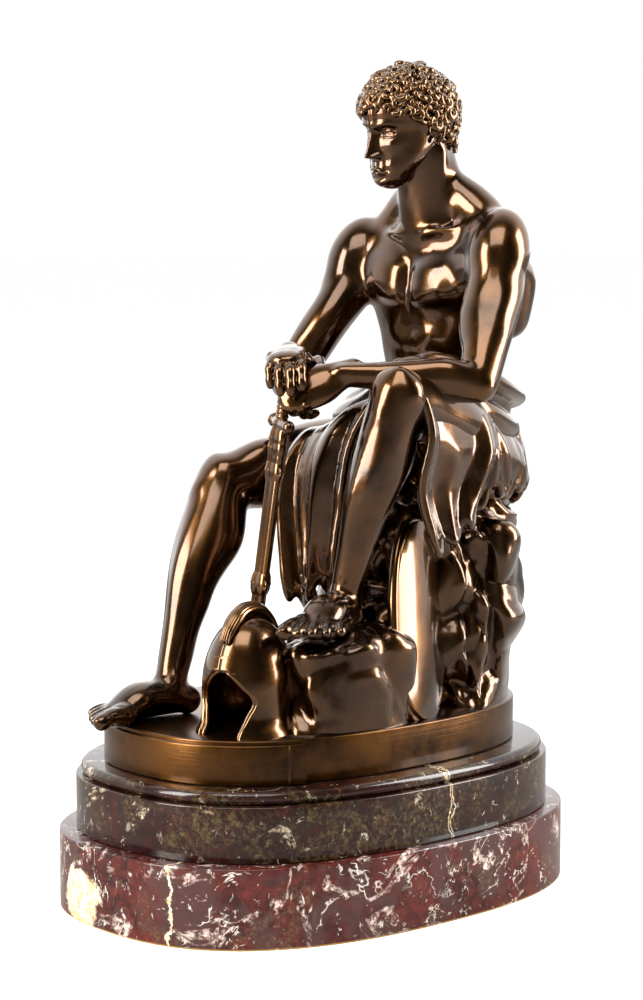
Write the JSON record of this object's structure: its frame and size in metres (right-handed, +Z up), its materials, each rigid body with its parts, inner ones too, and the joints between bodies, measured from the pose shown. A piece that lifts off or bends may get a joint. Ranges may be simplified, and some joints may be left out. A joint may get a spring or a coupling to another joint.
{
  "type": "seated warrior bronze sculpture",
  "caption": "Bronze seated warrior with both hands on a sheathed sword, cloak, helmet and shield on a rock, on an oval two-step marble plinth.",
  "frame": {"origin": "middle of the plinth's underside", "axes": "+Z up; the figure faces -Y and his left is +X; the plinth is longest along Y"},
  "size_m": [0.276, 0.382, 0.5913],
  "materials": {
    "bronze": "dark brown patinated cast bronze, polished, with golden brown where it is rubbed",
    "upper_marble": "polished dark red marble with ochre green patches and pale veins",
    "lower_marble": "polished red marble with white, cream and pink veins"
  },
  "bodies": {
    "root": {"bronze_group": "bronze", "marble_upper_tier": "upper_marble", "marble_lower_tier": "lower_marble"}
  },
  "joints": []
}
